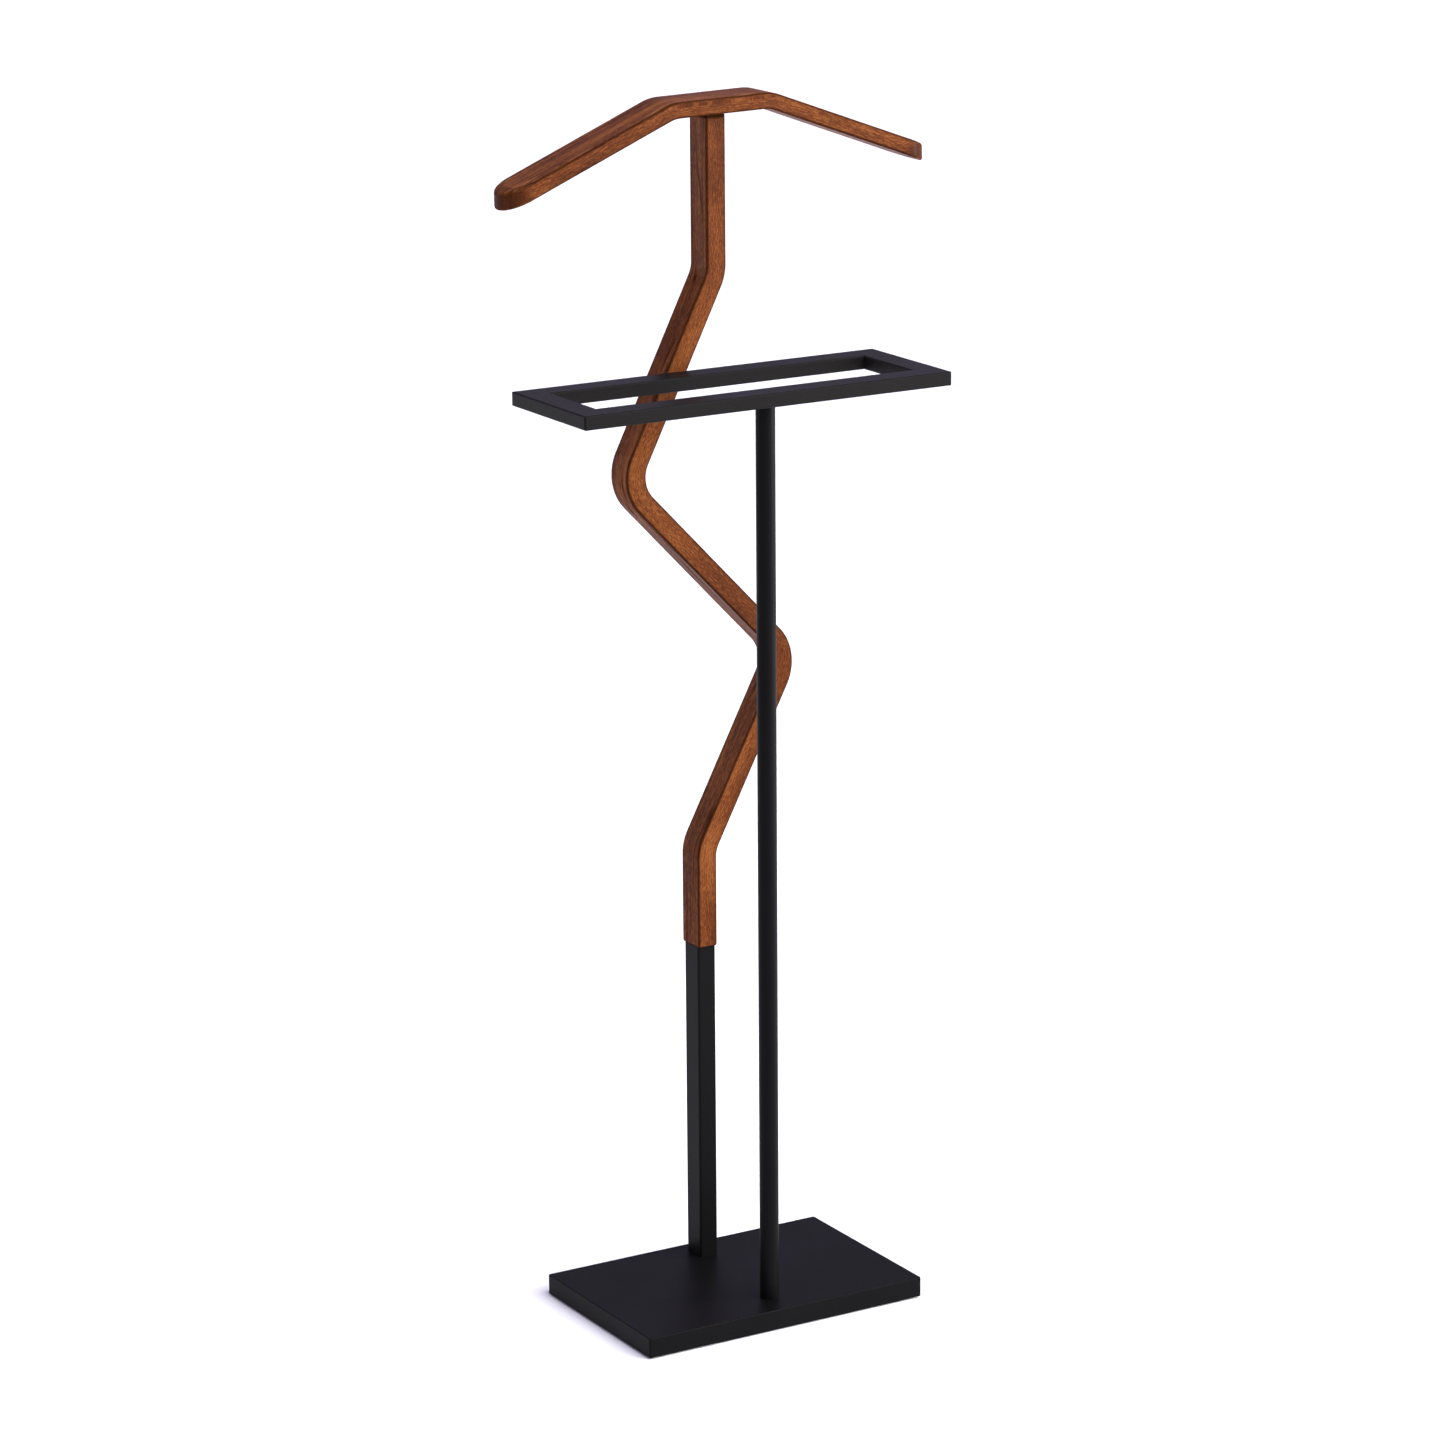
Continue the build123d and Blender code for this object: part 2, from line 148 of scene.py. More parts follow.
corners = [(-FLOOR_HALF, -FLOOR_HALF, 0), (FLOOR_HALF, -FLOOR_HALF, 0),
           (FLOOR_HALF, FLOOR_HALF, 0), (-FLOOR_HALF, FLOOR_HALF, 0)]
floor_mesh = bpy.data.meshes.new("floor")
floor_mesh.from_pydata(corners, [], [(0, 1, 2, 3)])
floor = bpy.data.objects.new("floor", floor_mesh)
scene.collection.objects.link(floor)
pale_floor = bpy.data.materials.new("pale_floor")
pale_floor.use_nodes = True
floor_shader = pale_floor.node_tree.nodes["Principled BSDF"]
floor_shader.inputs["Base Color"].default_value = (FLOOR_ALBEDO, FLOOR_ALBEDO, FLOOR_ALBEDO, 1.0)
floor_shader.inputs["Roughness"].default_value = FLOOR_ROUGHNESS
floor_mesh.materials.append(pale_floor)
print("floor", 2 * FLOOR_HALF, "m square")

# %% [markdown]
# ## Lamps
# One big soft sun comes over the right shoulder, from in front. It warms the wood's front
# faces and leaves the left faces a stop darker, which is what lets the zigzag read as a
# solid bar. A sun is as strong near as far, so it lights the whole floor evenly. Three tall
# strip boxes do the modelling: one stands where the front faces mirror it to the camera, one
# where the left faces do, and one far round to the right draws the sheen down the round tube.
# The faces pick up a soft gloss, and the corners between them stay dark.

# %% Lights
KEY_ELEVATION = math.radians(50)
KEY_AZIMUTH = math.radians(25)
KEY_SPREAD = math.radians(60)
KEY_STRENGTH = 3.85
STRIP_DISTANCE = 3.9
STRIP_WIDTH = 0.5
STRIP_HEIGHT = 1.7
STRIP_FOOT = 0.35
FACE_STRIP_WATTS = 34
EDGE_STRIP_WATTS = 150
LEFT_STRIP_WATTS = 12
EDGE_STRIP_AZIMUTH = math.radians(62)

def aimed(name, data, place, target):
    """A lamp at place that shines towards target."""
    lamp = bpy.data.objects.new(name, data)
    aim = Vector(target) - Vector(place)
    turn = aim.to_track_quat("-Z", "Y").to_matrix().to_4x4()
    lamp.matrix_world = Matrix.Translation(place) @ turn
    scene.collection.objects.link(lamp)

def strip_box(name, azimuth, watts):
    """An upright strip light on a circle round the stand; azimuth 0 is straight in front."""
    data = bpy.data.lights.new(name, "AREA")
    data.shape = "RECTANGLE"
    data.size = STRIP_WIDTH
    data.size_y = STRIP_HEIGHT
    data.energy = watts
    middle = STRIP_FOOT + STRIP_HEIGHT / 2
    place = (STRIP_DISTANCE * math.sin(azimuth), -STRIP_DISTANCE * math.cos(azimuth), middle)
    aimed(name, data, place, (0, 0, middle))

key_data = bpy.data.lights.new("key", "SUN")
key_data.energy = KEY_STRENGTH
key_data.angle = KEY_SPREAD
key_place = (math.sin(KEY_AZIMUTH) * math.cos(KEY_ELEVATION),
             -math.cos(KEY_AZIMUTH) * math.cos(KEY_ELEVATION), math.sin(KEY_ELEVATION))
aimed("key", key_data, key_place, (0, 0, 0))
strip_box("face_strip", -VIEW_AZIMUTH, FACE_STRIP_WATTS)
strip_box("edge_strip", EDGE_STRIP_AZIMUTH, EDGE_STRIP_WATTS)
strip_box("left_strip", math.radians(180) - VIEW_AZIMUTH, LEFT_STRIP_WATTS)

# %% [markdown]
# ## Writing materials
# Each finish is a small network of nodes. A few helpers keep the cells short: they add a node
# and fill or link its inputs, mix two colours, make noise, remap a value, start a material
# and plug its patterns in. Values that are the same all over a surface are set straight on
# the shader.

# %% Material helpers
def add(tree, kind, inputs=None, **settings):
    """A new node, its settings, and its inputs given as values or as sockets to link."""
    node = tree.nodes.new(kind)
    for name, value in settings.items():
        setattr(node, name, value)
    for key, value in (inputs or {}).items():
        if isinstance(value, bpy.types.NodeSocket):
            tree.links.new(value, node.inputs[key])
        else:
            node.inputs[key].default_value = value
    return node

def mix_colour(tree, share, first, second):
    """The colour between first and second, by the share socket or number."""
    node = add(tree, "ShaderNodeMix", data_type="RGBA")
    for index, value in ((MIX_SHARE, share), (MIX_FIRST, first), (MIX_SECOND, second)):
        if isinstance(value, bpy.types.NodeSocket):
            tree.links.new(value, node.inputs[index])
        else:
            node.inputs[index].default_value = value
    return node.outputs[MIX_RESULT]

def noise(tree, coordinates, scale, stretch=(1, 1, 1), detail=4.0, roughness=0.55):
    """Fractal noise with scale cells to the metre, times stretch along each axis."""
    mapping = add(tree, "ShaderNodeMapping", {"Vector": coordinates, "Scale": stretch})
    texture = add(tree, "ShaderNodeTexNoise", {
        "Vector": mapping.outputs[0], "Scale": scale, "Detail": detail, "Roughness": roughness})
    return texture.outputs["Fac"]

def ramp(tree, value, low, high, out_low=0.0, out_high=1.0):
    """value, remapped from low..high to out_low..out_high and held inside them."""
    node = add(tree, "ShaderNodeMapRange", {
        "Value": value, "From Min": low, "From Max": high, "To Min": out_low, "To Max": out_high})
    return node.outputs[0]

def finish(name, **constants):
    """A material with its tree and its Principled shader, with constants set on it."""
    material = bpy.data.materials.new(name)
    material.use_nodes = True
    shader = material.node_tree.nodes["Principled BSDF"]
    for key, value in constants.items():
        shader.inputs[key.replace("_", " ").title().replace("Ior", "IOR")].default_value = value
    return material, material.node_tree, shader

def plug(tree, shader, colour=None, roughness=None, height=None, depth=0.0):
    """Links the pattern sockets that a finish has worked out, and its bump."""
    if colour is not None:
        tree.links.new(colour, shader.inputs["Base Color"])
    if roughness is not None:
        tree.links.new(roughness, shader.inputs["Roughness"])
    if height is not None:
        bump = add(tree, "ShaderNodeBump", {"Height": height, "Distance": depth, "Strength": 1.0})
        tree.links.new(bump.outputs[0], shader.inputs["Normal"])

def maths(tree, operation, *values):
    """One maths node over numbers or sockets."""
    inputs = dict(enumerate(values))
    return add(tree, "ShaderNodeMath", inputs, operation=operation).outputs[0]

def object_place(tree):
    """Each point's place in metres; a finished piece sits unturned at the origin."""
    return add(tree, "ShaderNodeTexCoord").outputs["Object"]

print("helpers ready; colours show through", scene.view_settings.view_transform)

# %% [markdown]
# ## Powder-coated steel
# The base, tubes and trouser frame are sprayed with dry powder and baked. That leaves a matte
# film with a fine orange peel: a soft ripple about a millimetre across, with tiny grains in it
# that break up the sheen. Colour barely changes, so the ripple goes into bump and roughness, and
# only a breath of it into the colour. The trouser frame gets a lighter copy of the same coat:
# painted light that makes its rails read lighter than the base and the tubes.

# %% Black powder coat
BASE_COAT = ((0.0016, 0.0015, 0.0015, 1), (0.0055, 0.0051, 0.0050, 1))
# Painted light: the frame's colours are the base coat's lifted, so its rails read lighter.
FRAME_COAT_PAINTED_LIGHTER = ((0.0050, 0.0046, 0.0043, 1), (0.0115, 0.0106, 0.0098, 1))
COAT_GLOSS = 0.05
COAT_SMOOTH, COAT_ROUGH = 0.36, 0.50
ORANGE_PEEL = 900.0
POWDER_GRAIN = 4200.0
COAT_CLOUD = 9.0
PEEL_DEPTH = 0.03 * MM

def black_powder_coat(name, dark, light):
    """Powder coat between two near-blacks, rippled, grainy and faintly cloudy."""
    material, tree, shader = finish(name, specular_ior_level=COAT_GLOSS)
    place = object_place(tree)
    peel = noise(tree, place, ORANGE_PEEL, detail=3.0)
    grain = noise(tree, place, POWDER_GRAIN, detail=2.0)
    cloud = noise(tree, place, COAT_CLOUD, detail=3.0)
    speck = mix_colour(tree, ramp(tree, grain, 0.35, 0.75), dark, light)
    colour = mix_colour(tree, ramp(tree, cloud, 0.3, 0.7, 0.0, 0.35), speck, light)
    uneven = maths(tree, "ADD", peel, cloud)
    roughness = ramp(tree, uneven, 0.6, 1.4, COAT_SMOOTH, COAT_ROUGH)
    plug(tree, shader, colour, roughness, maths(tree, "ADD", peel, grain), PEEL_DEPTH)
    return material

BASE_NODES = ["base_cover", "base_bottom_panel", "rear_tube", "front_tube"]
FRAME_NODES = ["front_rail", "rear_rail", "left_rail", "right_rail"]

def dress(node_name, material):
    """Gives a CAD node a better material in each of its slots."""
    for slot in nodes[node_name].material_slots:
        slot.material = material

base_coat = black_powder_coat("black_powder_coat", *BASE_COAT)
frame_coat_painted_lighter = black_powder_coat("black_powder_coat_frame", *FRAME_COAT_PAINTED_LIGHTER)
for name in BASE_NODES:
    dress(name, base_coat)
for name in FRAME_NODES:
    dress(name, frame_coat_painted_lighter)
print("coated:", len(BASE_NODES) + len(FRAME_NODES), "steel parts")

# %% [markdown]
# ## Stained and lacquered timber
# The post and the shoulder bar are bent from thin plies of reddish-brown timber, stained
# and sealed with satin lacquer. Grain in a bent bar follows the bend, so a pattern in plain
# room coordinates would run straight through it and look like a picture pasted on. Instead
# each point of the timber carries its own place in the straight board that it came from:
# how far along, how deep in the stack of plies, and how far across the board. The finish
# reads that attribute, so grain, growth lines and glue lines turn every corner with the wood.

# %% Bent timber sizes
POST_WIDTH = 21.5 * MM
POST_DEPTH = 32.5 * MM
POST_PLIES = 8
BAR_LENGTH = 472 * MM
BAR_DEPTH = 48.5 * MM
BAR_THICKNESS = 16 * MM
BAR_PLIES = 6
print("plies:", round(POST_WIDTH / POST_PLIES / MM, 2), "mm in the post,",
      round(BAR_THICKNESS / BAR_PLIES / MM, 2), "mm in the bar")

# %% [markdown]
# Three stains make the wood's colour, mixed by a figure of three noises stretched along the
# board: a slow drift, soft streaks and short flecks. On the skins of the stack, growth lines
# wander along the grain, drawn as the contours of one very stretched noise. On its sides the
# glue between the plies shows as fine dark lines.

# %% Grain and glue
STAIN_DARK = (0.034, 0.0092, 0.0030, 1)
STAIN_MID = (0.108, 0.0285, 0.0070, 1)
STAIN_LIGHT = (0.235, 0.0780, 0.0195, 1)
# Cells to the metre along the board, through the plies and across.
DRIFT_CELLS = (9, 30, 45)
STREAK_CELLS = (6, 30, 300)
FLECK_CELLS = (170, 1050, 1050)
DRIFT_SHARE, STREAK_SHARE, FLECK_SHARE = 0.17, 0.27, 0.56
GROWTH_CELLS = (2.4, 12, 40)
GROWTH_STEP = 0.110
GROWTH_HALF_LINE = 0.016

def timber_figure(tree, board):
    """Light and dark in the wood, 0 to 1, and the streaks alone."""
    drift = noise(tree, board, 1.0, DRIFT_CELLS, detail=3.0)
    streak = noise(tree, board, 1.0, STREAK_CELLS, detail=4.0, roughness=0.6)
    fleck = noise(tree, board, 1.0, FLECK_CELLS, detail=5.0, roughness=0.8)
    figure = maths(tree, "MULTIPLY", drift, DRIFT_SHARE)
    for part, share in ((streak, STREAK_SHARE), (fleck, FLECK_SHARE)):
        figure = maths(tree, "MULTIPLY_ADD", part, share, figure)
    return figure, streak

def growth_lines(tree, board):
    """1 on thin lines that wander along the grain."""
    hills = noise(tree, board, 1.0, GROWTH_CELLS, detail=2.0)
    steps = maths(tree, "PINGPONG", hills, GROWTH_STEP / 2)
    return ramp(tree, steps, 0.0, GROWTH_HALF_LINE, 1.0, 0.0)

def ply_lines(tree, offset, ply):
    """1 on the glue lines, which lie half a ply away from the stack's middle and skin."""
    from_middle = maths(tree, "PINGPONG", offset, ply / 2)
    return ramp(tree, from_middle, 0.38 * ply, 0.48 * ply)

print("board figure:", DRIFT_SHARE, "drift,", STREAK_SHARE, "streak,", FLECK_SHARE, "fleck")

# %% [markdown]
# Stain gathers where wood is thirsty or where the cloth leaves it. The eased edges get a thin
# dark line: stain gathered there, with painted shade where the rounding turns away from the
# light. The post gets painted shade close to its sawn ends, where its joints fall into shadow: a
# fine line where it meets the steel and a wider one under the shoulder bar. The bar's half-round
# ends show cut fibres, which drink more stain all over. Each of the three is a distance made into
# a mask.

# %% Where the stain gathers and shade is painted
# The dark for the eased edges, stain and painted shade, and for the painted shade at the post's
# joints.
STAIN_AND_SHADE_DARK = (0.022, 0.0070, 0.0030, 1)

def past_straight(tree, along, straight_half):
    """Metres beyond the straight part of the plan, where its ends turn round."""
    return maths(tree, "SUBTRACT", maths(tree, "ABSOLUTE", along), straight_half)

def below_skin(tree, offset, thickness):
    """Metres from the nearer skin of the stack."""
    return maths(tree, "SUBTRACT", thickness / 2, maths(tree, "ABSOLUTE", offset))

def edge_distance(tree, parts, thickness, depth, straight_half):
    """Metres from a face's nearest eased edge, for a bar with half-round ends in plan."""
    past = maths(tree, "MAXIMUM", past_straight(tree, parts["X"], straight_half), 0.0)
    squares = maths(tree, "ADD", maths(tree, "MULTIPLY", past, past),
                    maths(tree, "MULTIPLY", parts["Z"], parts["Z"]))
    to_side = maths(tree, "SUBTRACT", depth / 2, maths(tree, "POWER", squares, 0.5))
    return maths(tree, "MAXIMUM", below_skin(tree, parts["Y"], thickness), to_side)

def end_grain(tree, parts, depth, straight_half):
    """1 on the half-round ends."""
    past = past_straight(tree, parts["X"], straight_half)
    return ramp(tree, past, 0.25 * depth / 2, 0.80 * depth / 2)

def painted_joint_shade(tree, levels):
    """Painted shade at the joints: 1 close to each sawn end, given as pairs of height and reach
    in metres.
    """
    height = add(tree, "ShaderNodeSeparateXYZ", {"Vector": object_place(tree)}).outputs["Z"]
    shade_mask = None
    for level, reach in levels:
        away = maths(tree, "ABSOLUTE", maths(tree, "SUBTRACT", height, level))
        line = ramp(tree, away, 0.6 * reach, reach, 1.0, 0.0)
        shade_mask = line if shade_mask is None else maths(tree, "MAXIMUM", shade_mask, line)
    return shade_mask

print("edge line colour:", STAIN_AND_SHADE_DARK[:3])

# %% [markdown]
# The two pieces share one finish and differ in size, plies and the colour of the growth
# lines: dark on the post, pale on the shoulder bar. The lacquer is a thin coat over the
# stain. Lines and edges are left dull, since lacquer sinks there, and the same patterns
# raise and lower the surface by a tenth of a millimetre.

# %% The lacquered timber
LINE_PALE = (0.300, 0.118, 0.046, 1)
LINE_SHADE, GLUE_SHADE, END_SHADE, EDGE_STAIN_AND_PAINTED_SHADE = 0.85, 0.34, 0.75, 0.92
SKIN_START, SKIN_END = 0.2 * MM, 1.0 * MM
SIDE_START, SIDE_END = 1.0 * MM, 2.5 * MM
EDGE_START, EDGE_END = 0.5 * MM, 3.0 * MM
EDGE_AT_ROUND_END = 0.45
WOOD_GLOSS = 0.020
LACQUER_WEIGHT = 0.030
LACQUER_ROUGHNESS = 0.28
WOOD_SMOOTH, WOOD_ROUGH = 0.30, 0.56
GRAIN_DEPTH = 0.10 * MM

def lacquered_timber(name, thickness, depth, plies, straight_half, line_colour, joint_shade_at=()):
    """Stained plies under satin lacquer, laid out by the board_place attribute."""
    material, tree, shader = finish(name, coat_roughness=LACQUER_ROUGHNESS)
    board = add(tree, "ShaderNodeAttribute", attribute_name="board_place").outputs["Vector"]
    parts = add(tree, "ShaderNodeSeparateXYZ", {"Vector": board}).outputs
    figure, streak = timber_figure(tree, board)
    colour = mix_colour(tree, ramp(tree, figure, 0.40, 0.51), STAIN_DARK, STAIN_MID)
    colour = mix_colour(tree, ramp(tree, figure, 0.50, 0.60), colour, STAIN_LIGHT)

    skin = below_skin(tree, parts["Y"], thickness)
    on_skin = ramp(tree, skin, SKIN_START, SKIN_END, 1.0, 0.0)
    broken = ramp(tree, streak, 0.34, 0.46)
    lines = maths(tree, "MULTIPLY", growth_lines(tree, board), on_skin)
    lines = maths(tree, "MULTIPLY", lines, broken)
    colour = mix_colour(tree, maths(tree, "MULTIPLY", lines, LINE_SHADE), colour, line_colour)
    glue = ply_lines(tree, parts["Y"], thickness / plies)
    colour = mix_colour(tree, maths(tree, "MULTIPLY", glue, GLUE_SHADE), colour, STAIN_DARK)

    round_end = end_grain(tree, parts, depth, straight_half)
    ends = maths(tree, "MULTIPLY", round_end, ramp(tree, skin, SIDE_START, SIDE_END))
    colour = mix_colour(tree, maths(tree, "MULTIPLY", ends, END_SHADE), colour, STAIN_DARK)
    # Painted shade along the eased edges, over the stain gathered there.
    edge = edge_distance(tree, parts, thickness, depth, straight_half)
    stain_and_painted_shade = maths(tree, "MULTIPLY", ramp(tree, edge, EDGE_START, EDGE_END, 1.0, 0.0),
                    ramp(tree, round_end, 0.0, 1.0, 1.0, EDGE_AT_ROUND_END))
    # Painted shade close to the post's sawn ends, where it meets the tube and the shoulder bar.
    if joint_shade_at:
        stain_and_painted_shade = maths(tree, "MAXIMUM", stain_and_painted_shade, painted_joint_shade(tree, joint_shade_at))
    colour = mix_colour(tree, maths(tree, "MULTIPLY", stain_and_painted_shade, EDGE_STAIN_AND_PAINTED_SHADE), colour, STAIN_AND_SHADE_DARK)

    dull = maths(tree, "MAXIMUM", stain_and_painted_shade, lines)
    gloss = ramp(tree, dull, 0.0, 1.0, WOOD_GLOSS, 0.0)
    lacquer = ramp(tree, dull, 0.0, 1.0, LACQUER_WEIGHT, 0.0)
    tree.links.new(gloss, shader.inputs["Specular IOR Level"])
    tree.links.new(lacquer, shader.inputs["Coat Weight"])
    roughness = ramp(tree, streak, 0.3, 0.7, WOOD_SMOOTH, WOOD_ROUGH)
    relief = maths(tree, "SUBTRACT", maths(tree, "ADD", streak, figure),
                   maths(tree, "ADD", lines, glue))
    plug(tree, shader, colour, roughness, relief, GRAIN_DEPTH)
    return material

# %% [markdown]
# The post has no half-round ends, so its straight part is given as far longer than the post.
# Its two sawn ends are heights taken from the CAD boxes, each with the width of the painted shade
# line there.

# %% Timber for the post and the bar
NO_ROUND_END = 10.0
# Widths of the painted shade at the post's foot and under the shoulder bar.
FOOT_SHADE_REACH = 1.8 * MM
TOP_SHADE_REACH = 5.0 * MM
POST_JOINT_SHADE = ((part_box("rear_tube")[1].z, FOOT_SHADE_REACH), (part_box("bent_post")[1].z, TOP_SHADE_REACH))
POST_TIMBER = lacquered_timber("post_timber", POST_WIDTH, POST_DEPTH, POST_PLIES,
                               NO_ROUND_END, STAIN_DARK, POST_JOINT_SHADE)
BAR_TIMBER = lacquered_timber("bar_timber", BAR_THICKNESS, BAR_DEPTH, BAR_PLIES,
                              (BAR_LENGTH - BAR_DEPTH) / 2, LINE_PALE)
print("timber finishes:", POST_TIMBER.name, BAR_TIMBER.name)

# %% [markdown]
# ## The small hidden finishes
# Raw board, beech dowels, zinc-plated fasteners and the felt pad hardly show, but anyone who
# turns the stand over sees them, so each has its own simple pattern.

# %% Board, dowels, zinc and felt
RAW_GLOSS = 0.25
ZINC_COLOURS = ((0.32, 0.32, 0.34, 1), (0.50, 0.50, 0.49, 1))
FELT_COLOURS = ((0.012, 0.012, 0.012, 1), (0.045, 0.044, 0.043, 1))
FIBREBOARD_COLOURS = ((0.26, 0.17, 0.10, 1), (0.44, 0.31, 0.20, 1))
BEECH_COLOURS = ((0.42, 0.27, 0.15, 1), (0.62, 0.45, 0.29, 1))
ZINC_RELIEF = 0.01 * MM
FELT_RELIEF = 0.3 * MM

def raw_wood(name, dark, light, stretch, depth):
    """Unfinished wood whose fibres run as the stretch says, depth metres deep."""
    material, tree, shader = finish(name, specular_ior_level=RAW_GLOSS)
    fibre = noise(tree, object_place(tree), 1.0, stretch, detail=6.0, roughness=0.65)
    colour = mix_colour(tree, ramp(tree, fibre, 0.3, 0.7), dark, light)
    plug(tree, shader, colour, ramp(tree, fibre, 0.3, 0.7, 0.7, 0.85), fibre, depth)
    return material

def zinc_plate():
    """Bright zinc, faintly brushed along the height and clouded here and there."""
    material, tree, shader = finish("zinc_plate", metallic=1.0)
    place = object_place(tree)
    brushed = noise(tree, place, 1.0, (1800, 1800, 300), detail=4.0)
    bloom = noise(tree, place, 160.0, detail=3.0)
    colour = mix_colour(tree, ramp(tree, bloom, 0.3, 0.7), *ZINC_COLOURS)
    plug(tree, shader, colour, ramp(tree, brushed, 0.3, 0.7, 0.28, 0.42), brushed, ZINC_RELIEF)
    return material

def dense_felt():
    """Black pressed felt: a tangle of fibres and no gloss."""
    material, tree, shader = finish("dense_felt", roughness=0.95, sheen_weight=0.3)
    fibres = noise(tree, object_place(tree), 1500.0, detail=6.0, roughness=0.75)
    colour = mix_colour(tree, ramp(tree, fibres, 0.3, 0.7), *FELT_COLOURS)
    plug(tree, shader, colour, None, fibres, FELT_RELIEF)
    return material

ZINC = zinc_plate()
fibreboard = raw_wood("raw_fibreboard", *FIBREBOARD_COLOURS, (900, 900, 900), 0.10 * MM)
beech = raw_wood("raw_beech", *BEECH_COLOURS, (1200, 1200, 60), 0.05 * MM)
dress("base_core", fibreboard)
dress("hanger_dowels", beech)
dress("floor_pad", dense_felt())
FASTENERS = ["rear_tube_bolts", "rear_tube_washers", "front_tube_bolt", "front_tube_washer",
             "rear_tube_foot_block", "front_tube_foot_plug", "front_tube_top_plug",
             "front_rail_stud", "front_rail_nut", "rear_rail_nuts"]
for name in FASTENERS:
    dress(name, ZINC)
print("zinc:", len(FASTENERS), "groups of fasteners")

# %% [markdown]
# ## One rule for both bent bars
# The post and the shoulder bar are made the same way in the workshop: thin plies are glued,
# pressed round a former and planed square. So one geometry tree makes both. It takes a line
# of corner points, rounds each corner to the former's radius and sweeps a rectangle along
# it. The rectangle is held level with the room, because a pressed bar never twists.

# %% Helpers for trees
def new_tree(name, inputs):
    """An empty geometry tree with named inputs, given as name: (kind, default)."""
    tree = bpy.data.node_groups.new(name, "GeometryNodeTree")
    tree.interface.new_socket("Geometry", in_out="INPUT", socket_type="NodeSocketGeometry")
    for label, (kind, default) in inputs.items():
        item = tree.interface.new_socket(label, in_out="INPUT", socket_type="NodeSocket" + kind)
        if default is not None:
            item.default_value = default
    tree.interface.new_socket("Geometry", in_out="OUTPUT", socket_type="NodeSocketGeometry")
    return tree, tree.nodes.new("NodeGroupInput"), tree.nodes.new("NodeGroupOutput")

def set_inputs(modifier, **values):
    """Sets a tree's named inputs on its modifier, through each socket's identifier."""
    for item in modifier.node_group.interface.items_tree:
        label = item.name.replace(" ", "_").lower()
        if item.item_type == "SOCKET" and item.in_out == "INPUT" and label in values:
            modifier[item.identifier] = values[label]

def finish_tree(tree, source, outputs, geometry):
    """Ends a tree the same way each time: real geometry, then its material."""
    real = add(tree, "GeometryNodeRealizeInstances", {"Geometry": geometry})
    painted = add(tree, "GeometryNodeSetMaterial", {
        "Geometry": real.outputs[0], "Material": source.outputs["Material"]})
    tree.links.new(painted.outputs[0], outputs.inputs[0])

print("tree helpers ready")

# %% [markdown]
# The tree follows the press step by step: the line, its rounded corners, the normal that
# keeps the section level, the section itself and the sweep.

# %% The bent bar tree
def bent_bar_tree():
    """Sweeps a Width by Depth section along a line whose corners it rounds."""
    tree, source, result = new_tree("bent bar", {
        "Width": ("Float", 0.02), "Depth": ("Float", 0.03), "Bend Radius": ("Float", 0.04),
        "Bend Steps": ("Int", 16), "Material": ("Material", None)})
    line = add(tree, "GeometryNodeMeshToCurve", {"Mesh": source.outputs["Geometry"]})
    rounded = add(tree, "GeometryNodeFilletCurve", {
        "Curve": line.outputs[0], "Count": source.outputs["Bend Steps"],
        "Radius": source.outputs["Bend Radius"], "Limit Radius": True}, mode="POLY")
    level = add(tree, "GeometryNodeSetCurveNormal", {
        "Curve": rounded.outputs[0], "Normal": (0.0, 1.0, 0.0)}, mode="FREE")
    section = add(tree, "GeometryNodeCurvePrimitiveQuadrilateral", {
        "Width": source.outputs["Depth"], "Height": source.outputs["Width"]})
    swept = add(tree, "GeometryNodeCurveToMesh", {
        "Curve": level.outputs[0], "Profile Curve": section.outputs[0], "Fill Caps": True})
    finish_tree(tree, source, result, swept.outputs[0])
    return tree

BENT_BAR = bent_bar_tree()

def line_of(name, points):
    """An object whose mesh is only a line through the points, for a tree to follow."""
    mesh = bpy.data.meshes.new(name)
    mesh.from_pydata(points, [(i, i + 1) for i in range(len(points) - 1)], [])
    line = bpy.data.objects.new(name, mesh)
    scene.collection.objects.link(line)
    return line

def bend(name, points, **inputs):
    """Hangs the bent bar tree on a line and sets its inputs."""
    piece = line_of(name, points)
    modifier = piece.modifiers.new("bent bar", "NODES")
    modifier.node_group = BENT_BAR
    set_inputs(modifier, **inputs)
    return piece

print("tree:", BENT_BAR.name, "with", len(BENT_BAR.nodes), "nodes")

# %% [markdown]
# ## Planing, boring and easing
# After the press come the machines: a saw rounds the bar's ends, a router eases the edges,
# a drill bores for dowels and screws. The same order works here, as modifiers that are
# baked into a plain mesh at the end. Weighted normals keep the broad faces flat to the
# light, so that only the eased edges catch a highlight.

# %% Workshop helpers
BROAD_FACE_WEIGHT = 90

def cutter(name, build):
    """A closed helper solid that a boolean uses, kept out of the picture."""
    shape = bmesh.new()
    build(shape)
    bmesh.ops.recalc_face_normals(shape, faces=shape.faces)
    mesh = bpy.data.meshes.new(name)
    shape.to_mesh(mesh)
    shape.free()
    solid = bpy.data.objects.new(name, mesh)
    scene.collection.objects.link(solid)
    solid.hide_render = True
    return solid

def turned(shape, place, direction, radius_start, radius_end, length, segments=48):
    """Adds a cone or cylinder that starts at place and runs along direction."""
    axis = Vector(direction).normalized()
    middle = Vector(place) + axis * (length / 2)
    matrix = Matrix.Translation(middle) @ axis.to_track_quat("Z", "Y").to_matrix().to_4x4()
    bmesh.ops.create_cone(shape, cap_ends=True, segments=segments, radius1=radius_start,
                          radius2=radius_end, depth=length, matrix=matrix)

def cut(piece, solid, operation):
    """Adds a boolean that uses the cutter; operation is DIFFERENCE or INTERSECT."""
    modifier = piece.modifiers.new(solid.name, "BOOLEAN")
    modifier.operation = operation
    modifier.solver = "EXACT"
    modifier.object = solid

